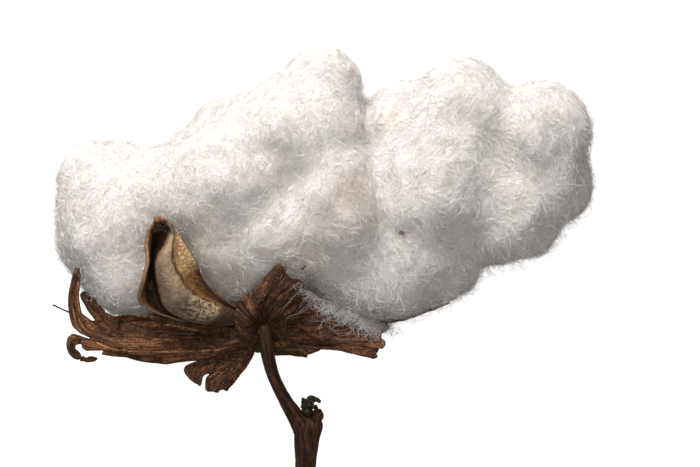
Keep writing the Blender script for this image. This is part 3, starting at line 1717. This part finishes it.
@dataclass
class Stem:
    """The stalk, the stub of branch that it grows from and the leaf scar, under one bark.

    Args:
        stalk: design points and radii along the stalk, in millimetres.
        branch: the same along the branch, up to its cut end.
        scar: the scar's middle and radius.
        voxel: the size of the bark's faces, in millimetres.
        easing: how often the bark is smoothed.
        ribs: the size, stretch and height of its ribs, coarse and fine.
    """

    stalk: list[Station]
    branch: list[Station]
    scar: Station
    voxel: float = 0.19
    easing: int = 5
    ribs: tuple[Point, ...] = ((0.75, 0.10, 0.16), (0.35, 0.3, 0.05))

    @staticmethod
    def rod(stations: list[Station], bm: bmesh.types.BMesh) -> None:
        """Adds a round rod of varying radius, with flat ends.

        Args:
            stations: design points and radii along it.
            bm: what it is added to.
        """
        line = smooth_line(stations, 40)
        heading = unit(np.gradient(line[:, :3], axis=0))
        ring_before = None
        for row, (x, y, z, radius) in enumerate(line):
            turn = Vector((0.0, 0.0, 1.0)).rotation_difference(Vector(heading[row]))
            place = DESIGN.step_to((x, y, z)) @ turn.to_matrix().to_4x4()
            caps = row in (0, len(line) - 1)
            made = bmesh.ops.create_circle(
                bm, cap_ends=caps, segments=24, radius=radius * MM, matrix=place
            )
            ring = made["verts"]
            edges = [edge for edge in bm.edges if edge.verts[0] in ring and edge.verts[1] in ring]
            if ring_before:
                bmesh.ops.bridge_loops(bm, edges=ring_before + edges)
            ring_before = edges

    def build(self) -> None:
        """Builds the stem as one piece of bark with its grooves."""
        bodies = []
        for stations in (self.stalk, self.branch):
            bm = bmesh.new()
            self.rod(stations, bm)
            bmesh.ops.recalc_face_normals(bm, faces=bm.faces[:])
            bodies.append(Workbench.mesh_of(bm, "rod"))
        bm = bmesh.new()
        for body in bodies:
            bm.from_mesh(body)
        x, y, z, radius = self.scar
        size = Matrix.Diagonal((radius * MM, radius * 1.15 * MM, radius * MM, 1.0))
        place = DESIGN.step_to((x, y, z)) @ size
        bmesh.ops.create_icosphere(bm, subdivisions=3, radius=1.0, matrix=place)
        obj = Workbench.hang("stem_bark", Workbench.mesh_of(bm, "stem_bark"))
        Workbench.felt(obj, self.voxel, self.easing)
        points = Workbench.points(obj)
        grain, cut = self.grain(points)
        rise = np.zeros(len(points))
        for number, (width, stretch, height) in enumerate(self.ribs):
            rise += NoiseField(width, 61 + number).at(grain * (1.0, 1.0, stretch))[:, 0] * height
        rise = rise * (1.0 - cut[:, 0])
        Workbench.move(obj, points + Workbench.normals(obj) * rise[:, None])
        Workbench.paint(obj, "grain", grain)
        Workbench.paint(obj, "cut", cut)
        Workbench.hand_over(obj, BarkFinish(), Slot.STALK, ("stem",))

    def grain(self, points: np.ndarray) -> tuple[np.ndarray, np.ndarray]:
        """Where each point lies round and along its rod, and whether it is on the cut end.

        Args:
            points: design points.

        Returns:
            A grain vector for each point, and its share of the cut face with its ring there.
        """
        best = np.full(len(points), np.inf)
        grain = np.zeros_like(points)
        for number, stations in enumerate((self.stalk, self.branch)):
            line = smooth_line(stations, 90)
            gaps = np.linalg.norm(points[:, None] - line[None, :, :3], axis=2)
            near = gaps.argmin(axis=1)
            distance = gaps.min(axis=1) - line[near, 3]
            arm = points - line[near, :3]
            travelled = near * np.linalg.norm(np.diff(line[:, :3], axis=0), axis=1).mean()
            mine = np.stack([arm[:, 0], arm[:, 2] - arm[:, 1] * 0.5, travelled + number * 40.0], axis=1)
            closer = distance < best
            grain[closer] = mine[closer]
            best = np.minimum(best, distance)
        line = smooth_line(self.branch, 60)
        end, axis = line[-1, :3], unit(line[-1, :3] - line[-3, :3])
        past = (points - end) @ axis
        ring = np.linalg.norm(points - end - past[:, None] * axis, axis=1) / line[-1, 3]
        face = np.clip((past + 0.14) / 0.08, 0.0, 1.0) * (ring < 1.05) * (past < 1.0)
        return grain, np.stack([face, ring, np.zeros(len(points))], axis=1)


@dataclass
class Crumb:
    """Crumpled flakes of tissue grown together.

    Args:
        name: the piece's name.
        node: the CAD node that it stands for.
        slot: the record's material slot that it belongs to.
        finish: what it is dressed in.
        flakes: the middle, the three half widths and the turn in degrees of each flake.
        crush: how deep its folds are, in millimetres.
        fold: the size of its folds, in millimetres.
        seed: the seed of chance for its folds.
    """

    name: str
    node: str
    slot: Slot
    finish: Finish
    flakes: list[tuple[float, ...]]
    crush: float = 0.45
    fold: float = 0.75
    seed: int = 5

    def build(self) -> None:
        """Builds the flakes as one piece, folded by ridged noise."""
        bm = bmesh.new()
        for x, y, z, *half, turn in self.flakes:
            place = DESIGN.step_to((x, y, z)) @ Matrix.Rotation(math.radians(turn), 4, "Z")
            place = place @ Matrix.Diagonal((*(width * MM for width in half), 1.0))
            bmesh.ops.create_icosphere(bm, subdivisions=4, radius=1.0, matrix=place)
        bm.normal_update()
        noise.seed_set(self.seed)
        for vertex in bm.verts:
            spot = vertex.co / (self.fold * MM)
            ridge = 0.35 - abs(noise.noise(spot + noise.noise_vector(spot * 0.6) * 0.8)) * 2.0
            vertex.co += vertex.normal * ridge * self.crush * MM
        obj = Workbench.hang(self.name, Workbench.mesh_of(bm, self.name))
        Workbench.hand_over(obj, self.finish, self.slot, (self.node,))


@dataclass
class Seed:
    """A pointed seed, buried in the lint to its tip or over it.

    Args:
        node: the CAD node that it stands for.
        tip: where its tip comes near the lint's skin, in x and y.
        reach: how far round the tip the lint is raised or lowered.
        cover: how much higher the lint stands there, in millimetres.
    """

    node: str
    tip: tuple[float, float]
    reach: float
    cover: float

    def build(self) -> None:
        """Builds the seed: its CAD form, smoothed and lightly furrowed."""
        bm = Workbench.cad_copy((self.node,))
        obj = Workbench.hang(f"{self.node}_coat", Workbench.mesh_of(bm, self.node))
        rounder = obj.modifiers.new("rounder", "SUBSURF")
        rounder.levels = 2
        rounder.render_levels = 2
        Workbench.bake(obj)
        points = Workbench.points(obj)
        furrows = NoiseField(0.7, 71).at(points)[:, 0] * 0.08
        Workbench.move(obj, points + Workbench.normals(obj) * furrows[:, None])
        Workbench.hand_over(obj, SEED_FINISH, Slot.SEED, (self.node,))


@dataclass(frozen=True)
class Lamp:
    """A soft square lamp that faces the boll.

    Args:
        name: its name.
        place: where it hangs, in metres from the studio's aim.
        size: its side, in metres.
        watts: its power.
        colour: its light's colour.
    """

    name: str
    place: Point
    size: float
    watts: float
    colour: Colour


@dataclass(frozen=True)
class Studio:
    """A pale floor, soft light from above, and the camera straight above.

    Args:
        aim: the design point that the camera and the lamps face.
        lens: the camera's focal length, long so that it sees the boll nearly without perspective.
        sensor: the width of its sensor, in millimetres as the lens.
        span: the width that it sees at the aim, in millimetres.
        lamps: the lamps.
        ground: the floor's colour.
        glow: how much brighter the camera sees the floor.
        air: the colour of the air's own light.
        air_strength: how strong that is.
    """

    aim: Point = (*MIDDLE, 24.0)
    lens: float = 900.0
    sensor: float = 36.0
    span: float = 147.0
    lamps: tuple[Lamp, ...] = (
        Lamp("key", (-0.15, 0.46, 0.27), 0.28, 5.3, (1.0, 0.985, 0.965)),
        Lamp("fill", (-0.06, 0.02, 0.80), 0.8, 3.5, (1.0, 0.98, 0.965)),
    )
    ground: Colour = (0.36, 0.36, 0.36)
    glow: float = 0.94
    air: Colour = (1.0, 0.98, 0.97)
    air_strength: float = 0.20

    def camera(self) -> None:
        """Sets the camera so that the frame spans the given width at the boll's middle height."""
        data = bpy.data.cameras.new("camera")
        data.lens = self.lens
        data.sensor_width = self.sensor
        data.clip_start = 0.01
        data.clip_end = 20.0
        camera = bpy.data.objects.new("camera", data)
        bpy.context.scene.collection.objects.link(camera)
        distance = self.span * self.lens / self.sensor
        camera.location = DESIGN.to_row((self.aim[0], self.aim[1], self.aim[2] + distance))
        bpy.context.scene.camera = camera

    def hang_lamp(self, lamp: Lamp) -> None:
        """Adds a lamp.

        Args:
            lamp: which lamp.
        """
        data = bpy.data.lights.new(lamp.name, "AREA")
        data.size = lamp.size
        data.energy = lamp.watts
        data.color = lamp.colour
        obj = bpy.data.objects.new(lamp.name, data)
        bpy.context.scene.collection.objects.link(obj)
        obj.location = Vector(DESIGN.to_row(self.aim)) + Vector(lamp.place)
        obj.rotation_euler = Vector(lamp.place).to_track_quat("Z", "Y").to_euler()

    def floor(self) -> None:
        """Lays the floor. The camera sees it brighter than it lights the boll."""
        bm = bmesh.new()
        bmesh.ops.create_grid(bm, x_segments=1, y_segments=1, size=2.5)
        obj = Workbench.hang("floor", Workbench.mesh_of(bm, "floor"))
        made = bpy.data.materials.new("pale_floor")
        made.use_nodes = True
        desk = NodeDesk(made.node_tree)
        shader = made.node_tree.nodes["Principled BSDF"]
        shader.inputs["Base Color"].default_value = (*self.ground, 1.0)
        shader.inputs["Roughness"].default_value = 0.9
        shader.inputs["Specular IOR Level"].default_value = 0.0
        glow = desk.node("ShaderNodeEmission")
        glow.inputs["Strength"].default_value = self.glow
        both = desk.node("ShaderNodeAddShader")
        choice = desk.node("ShaderNodeMixShader")
        desk.feed(both.inputs[0], shader.outputs[0])
        desk.feed(both.inputs[1], glow.outputs[0])
        desk.feed(choice.inputs[0], desk.node("ShaderNodeLightPath").outputs["Is Camera Ray"])
        desk.feed(choice.inputs[1], shader.outputs[0])
        desk.feed(choice.inputs[2], both.outputs[0])
        desk.feed(made.node_tree.nodes["Material Output"].inputs["Surface"], choice.outputs[0])
        obj.data.materials.append(made)

    def light(self) -> None:
        """Hangs the lamps and sets the air's own light."""
        for lamp in self.lamps:
            self.hang_lamp(lamp)
        world = bpy.data.worlds.new("studio")
        world.use_nodes = True
        background = world.node_tree.nodes["Background"]
        background.inputs["Color"].default_value = (*self.air, 1.0)
        background.inputs["Strength"].default_value = self.air_strength
        bpy.context.scene.world = world
        bpy.context.scene.view_settings.view_transform = "Standard"

    def build(self) -> None:
        """Everything round the boll."""
        self.camera()
        self.floor()
        self.light()


FRONT_VALVE = [
    [(-2.6, 1.8, 31.4), (-9.7, 1.3, 32.2), (-17.2, 2.9, 33.8), (-25.8, 8.0, 40.0), (-24.8, 11.3, 42.5),
     (-23.9, 15.5, 43.5), (-24.1, 19.3, 43.5), (-23.3, 22.3, 43.5), (-22.3, 23.9, 43.5)],
    [(-2.5, 2.7, 31.3), (-9.4, 2.1, 31.6), (-16.6, 3.4, 32.8), (-21.4, 6.7, 36.0), (-22.7, 10.7, 37.0),
     (-22.9, 15.3, 38.0), (-22.4, 19.3, 38.6), (-21.5, 22.3, 40.6), (-21.3, 24.1, 42.8)],
    [(-2.4, 3.0, 31.7), (-10.1, 2.3, 34.6), (-15.5, 3.5, 37.4), (-19.7, 6.1, 40.5), (-21.1, 10.7, 42.0),
     (-21.7, 15.3, 43.0), (-19.6, 19.3, 43.5), (-18.8, 22.0, 43.8), (-20.0, 24.0, 43.8)],
    [(-2.3, 3.3, 32.0), (-9.0, 4.0, 38.4), (-14.1, 5.5, 42.0), (-17.8, 8.0, 44.5), (-19.3, 11.8, 45.5),
     (-20.4, 15.8, 45.8), (-19.1, 19.5, 45.0), (-18.6, 21.8, 44.3), (-19.9, 23.8, 44.0)],
    [(-2.2, 3.4, 32.0), (-8.4, 5.7, 38.0), (-12.8, 7.7, 41.5), (-16.1, 10.2, 44.0), (-18.0, 13.2, 45.0),
     (-19.1, 16.4, 45.5), (-18.8, 19.5, 44.8), (-18.5, 21.6, 44.2), (-19.8, 23.6, 44.0)],
    [(-2.1, 3.8, 31.6), (-8.1, 6.4, 35.8), (-11.8, 8.8, 38.0), (-14.2, 11.2, 39.6), (-15.9, 14.1, 40.8),
     (-17.2, 17.0, 41.8), (-17.7, 19.7, 42.7), (-18.2, 21.9, 43.3), (-19.6, 23.4, 43.4)],
    [(-2.0, 4.2, 31.8), (-7.7, 7.3, 36.5), (-10.7, 9.8, 38.7), (-12.4, 12.2, 40.2), (-13.6, 15.0, 41.6),
     (-15.3, 17.9, 42.3), (-16.7, 20.2, 42.8), (-17.8, 22.1, 43.2), (-19.4, 23.5, 43.2)],
]

BOAT_VALVES = [
    ([(-2.0, 4.0, 27.0), (-9.0, 1.5, 21.0), (-20.0, 3.0, 16.0), (-29.0, 7.2, 14.5), (-34.0, 9.4, 15.5)],
     (0.25, 0.75, 0.6), 7.0),
    ([(3.0, 4.5, 27.5), (10.0, 2.6, 26.0), (19.0, 4.2, 25.0), (27.0, 8.5, 26.0), (32.0, 13.0, 28.0)],
     (-0.3, 0.85, 0.35), 6.6),
    ([(1.0, 3.0, 26.0), (3.0, -0.5, 17.0), (6.5, 3.0, 8.0), (10.0, 10.5, 4.2), (12.5, 18.0, 3.6)],
     (0.0, 0.6, 0.8), 7.2),
]

BRACTS = (
    Bract("bract_left", (
        Tooth(((-2.3, 0.9, 34.0), (-7.8, 1.1, 34.3), (-15.1, 1.8, 34.8), (-21.4, 3.1, 33.8), (-26.7, 3.6, 32.6),
               (-31.5, 3.6, 32.0)), 1.1, 0.72),
        Tooth(((-2.5, 0.1, 34.2), (-8.4, -0.4, 35.1), (-15.1, 0.0, 35.4), (-23.5, 0.2, 34.3), (-30.2, 0.6, 32.0),
               (-34.0, 3.8, 29.5), (-37.8, 8.8, 27.0)), 1.8, 0.70, 0.5, 0.4),
        Tooth(((-2.8, -0.4, 34.0), (-8.4, -1.5, 35.5), (-15.1, -1.5, 35.5), (-23.5, -1.5, 35.0),
               (-31.5, -1.3, 34.0), (-37.4, 0.6, 33.0), (-39.4, 6.9, 32.0), (-38.6, 14.1, 31.0)),
              1.45, 0.60, 0.9, 0.4),
        Tooth(((-2.8, -0.8, 34.0), (-8.4, -2.3, 35.8), (-15.1, -2.5, 36.0), (-23.5, -2.5, 35.8),
               (-31.5, -2.3, 34.5), (-36.5, -0.8, 33.0), (-39.8, -1.2, 31.0), (-40.0, -3.0, 29.5),
               (-38.2, -4.6, 29.5), (-34.6, -4.9, 30.5)), 1.3, 0.62, 0.85, 0.3),
        Tooth(((-2.7, -1.3, 34.0), (-8.4, -3.1, 35.8), (-15.1, -3.6, 36.2), (-23.5, -3.8, 36.0),
               (-30.9, -3.1, 36.0), (-37.6, -1.5, 36.8)), 1.7, 0.88, 1.3, 0.3),
        Tooth(((-2.5, -1.7, 33.5), (-7.8, -4.0, 34.8), (-14.1, -5.0, 35.0), (-21.4, -5.7, 34.5),
               (-27.7, -4.8, 35.0), (-33.4, -3.8, 35.8)), 1.1, 0.45),
        Tooth(((-2.1, -2.1, 33.5), (-6.6, -4.0, 34.2), (-12.6, -5.4, 34.4), (-15.6, -7.2, 34.5),
               (-13.7, -10.0, 34.6)), 0.9, 0.98, 0.85, 0.4),
        Tooth(((-2.0, -2.2, 33.5), (-5.6, -4.5, 34.0), (-10.4, -6.6, 34.2), (-12.9, -8.2, 34.4),
               (-13.0, -10.5, 34.6)), 0.9, 0.66, 0.8, 0.5),
        Tooth(((-1.9, -2.3, 33.5), (-4.8, -5.0, 34.0), (-8.6, -7.8, 34.5), (-11.0, -9.8, 34.8),
               (-10.9, -11.7, 35.0)), 1.2, 0.98, 0.8, 0.3),
        Tooth(((-1.7, -2.3, 33.5), (-4.0, -5.4, 34.0), (-7.0, -8.6, 34.5), (-8.8, -10.4, 34.8),
               (-9.4, -12.0, 35.0)), 1.2, 0.98, 0.75, 0.3),
        Tooth(((-1.5, -2.3, 33.5), (-2.9, -5.0, 33.8), (-5.2, -7.8, 34.2), (-6.8, -9.8, 34.5),
               (-8.0, -11.2, 34.7)), 0.9, 0.98, 0.75, 0.4),
    ), tint=(1.95, 1.6, 1.25)),
    Bract("bract_right", (
        Tooth(((-0.8, -0.9, 35.9), (-2.1, -1.9, 37.5), (-4.2, -1.9, 36.0)), 0.5, 0.93),
        Tooth(((-1.1, 0.4, 36.2), (-3.1, 1.3, 40.0), (-5.5, 3.1, 37.0)), 1.2, 0.93),
        Tooth(((-0.9, 1.3, 36.5), (-2.5, 4.0, 42.0), (-5.0, 6.5, 38.0)), 1.4, 0.93),
        Tooth(((-0.4, 2.1, 37.0), (0.4, 7.3, 43.0), (2.5, 11.3, 44.5), (4.2, 14.5, 45.0)), 1.7, 0.86),
        Tooth(((0.6, 2.3, 37.0), (2.9, 6.3, 43.0), (5.9, 9.4, 43.5), (8.8, 10.5, 41.0)), 1.6, 0.86),
        Tooth(((1.5, 2.1, 37.0), (5.9, 4.8, 41.0), (11.1, 6.5, 38.0), (16.8, 5.5, 32.0)), 1.6, 0.84),
        Tooth(((2.0, 1.5, 36.5), (8.0, 2.3, 38.5), (17.4, 2.3, 35.5), (26.7, 1.9, 31.0)), 1.6, 0.90),
        Tooth(((2.2, 0.8, 36.0), (8.0, 0.0, 38.0), (17.4, -1.1, 36.0), (25.8, -1.7, 34.0)), 1.4, 0.94),
        Tooth(((2.1, 0.2, 35.7), (8.0, -1.7, 36.5), (16.4, -2.5, 36.0), (24.1, -4.4, 35.0)), 0.8, 0.94),
    ), tint=(1.3, 1.05, 0.9)),
    Bract("bract_back", (
        Tooth(((1.9, 0.2, 30.0), (8.0, 0.4, 27.0), (17.4, 1.7, 23.5), (29.0, 3.6, 21.5), (39.5, 6.7, 21.0)),
              1.3, 0.40),
        Tooth(((1.7, -0.5, 29.7), (4.8, -1.7, 29.7), (9.0, -2.3, 29.3), (12.6, -2.7, 29.0)), 1.2, 0.86),
        Tooth(((1.3, -1.2, 29.3), (3.6, -3.1, 28.5), (6.3, -4.2, 27.5), (9.4, -4.4, 26.5)), 1.3, 0.70),
        Tooth(((0.8, -1.6, 28.8), (1.9, -3.8, 24.0), (4.8, -3.8, 17.0), (10.1, -1.7, 11.0), (16.4, 2.7, 8.0)),
              1.7, 0.62),
        Tooth(((0.2, -1.8, 28.2), (0.2, -3.4, 20.0), (1.3, -2.1, 10.0), (3.8, 2.7, 3.5), (6.3, 9.0, 1.2)),
              1.7, 0.62),
        Tooth(((-0.4, -1.8, 28.2), (-2.1, -2.9, 20.0), (-4.6, -1.7, 11.0), (-7.8, 2.1, 5.5), (-11.3, 7.3, 3.5)),
              1.7, 0.62),
        Tooth(((-0.9, -1.6, 28.6), (-4.0, -2.7, 23.0), (-8.4, -1.7, 16.0), (-13.4, 1.1, 11.5),
               (-18.9, 3.6, 10.0)), 1.3, 0.62),
    ), tint=(2.4, 2.3, 1.6)),
)

STEM = Stem(
    stalk=[(0.3, 1.6, 31.9, 1.75), (0.5, -0.2, 33.0, 1.62), (1.1, -3.6, 33.0, 1.45), (2.1, -7.8, 31.0, 1.32),
           (4.6, -13.2, 27.0, 1.40), (7.0, -17.2, 23.5, 1.75), (8.8, -21.0, 20.6, 1.90)],
    branch=[(10.0, -16.6, 22.9, 2.1), (9.8, -18.4, 21.9, 3.05), (9.4, -21.5, 20.2, 2.75),
            (9.2, -25.4, 17.4, 2.3), (9.1, -30.2, 14.0, 2.1)],
    scar=(11.7, -16.9, 23.2, 1.25),
)

DRIED_BUD = Crumb("dried_bud_flakes", "dried_bud", Slot.BUD, CrumbFinish(), [
    (9.4, -15.4, 24.6, 1.15, 1.5, 0.95, 20), (10.1, -14.0, 25.0, 0.95, 1.3, 0.7, -25),
    (8.9, -14.3, 25.2, 0.55, 1.25, 0.5, 15), (11.0, -13.5, 25.3, 1.45, 0.5, 0.55, -22),
    (10.9, -15.0, 25.4, 0.7, 0.9, 0.6, 40),
])

SEED_FINISH = CrumbFinish(
    "seed_coat", (0.045, 0.026, 0.015), (0.13, 0.08, 0.045), (0.3, 0.24, 0.17), 0.2
)
SEEDS = (Seed("seed_lower", (29.4, 21.2), 1.4, -1.15), Seed("seed_upper", (27.5, 44.9), 3.6, 1.3))

RUSTY = ((0.42, 0.17, 0.05), (0.12, 0.05, 0.025), (0.55, 0.28, 0.11))
WHISKERS = (
    Whiskers("husk_tip_threads", (-21.5, 23.9, 43.8), (0.05, 1.0, 0.1), 34, (0.7, 2.2), 0.13,
             (1.0, 0.3, 0.2), RUSTY),
    Whiskers("husk_tip_crumbs", (-21.2, 22.8, 44.6), (0.1, 0.7, 0.5), 90, (0.3, 0.9), 0.2, (1.4, 1.2, 0.4),
             ((0.05, 0.025, 0.015), (0.03, 0.02, 0.012)), spread=0.9, seed=32),
    Whiskers("bract_left_fringe", (-30.0, 4.1, 32.2), (-0.5, 0.7, 0.2), 50, (0.5, 1.6), 0.1, (2.2, 0.5, 0.3),
             ((0.30, 0.2, 0.12), (0.1, 0.06, 0.04)), spread=0.6, slot=Slot.BRACT, seed=33),
    Whiskers("bract_peak_fringe", (4.3, 14.0, 45.0), (0.1, 0.8, 0.2), 80, (0.4, 1.3), 0.1, (0.9, 0.6, 0.4),
             ((0.05, 0.03, 0.02), (0.14, 0.09, 0.06)), spread=0.8, slot=Slot.BRACT, seed=34),
    Whiskers("lint_chaff", (8.4, 13.8, 39.2), (0.72, 0.7, 0.05), 3, (1.3, 1.7), 0.24, (0.12, 0.12, 0.1),
             ((0.03, 0.02, 0.015),), spread=0.03, bend=0.02, seed=35),
    Whiskers("bract_left_thread", (-40.2, 4.7, 31.0), (-0.93, 0.42, 0.25), 4, (4.6, 5.2), 0.34,
             (0.05, 0.05, 0.1), ((0.03, 0.018, 0.012),), spread=0.0, bend=0.02, slot=Slot.BRACT, seed=36),
)


def tree_of(obj: bpy.types.Object) -> BVHTree:
    """The object's surface, ready to be searched."""
    return BVHTree.FromObject(obj, bpy.context.evaluated_depsgraph_get())


def main() -> None:
    """Builds the boll's pieces and the studio round it."""
    logging.basicConfig(level=logging.INFO, format="%(message)s")
    STEM.build()
    DRIED_BUD.build()
    hard = Husk(FRONT_VALVE, BOAT_VALVES).build()
    hard += [bract.build() for bract in BRACTS]
    lint = Lint()
    lint.make_body()
    for seed in SEEDS:
        seed.build()
    bpy.context.view_layer.update()
    lint.dress([tree_of(obj) for obj in hard])
    Veil().build([tree_of(hard[0]), *(tree_of(obj) for obj in hard[-3:]), tree_of(lint.body)])
    for whiskers in WHISKERS:
        whiskers.build()
    Studio().build()
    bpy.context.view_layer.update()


if __name__ == "__main__":
    main()
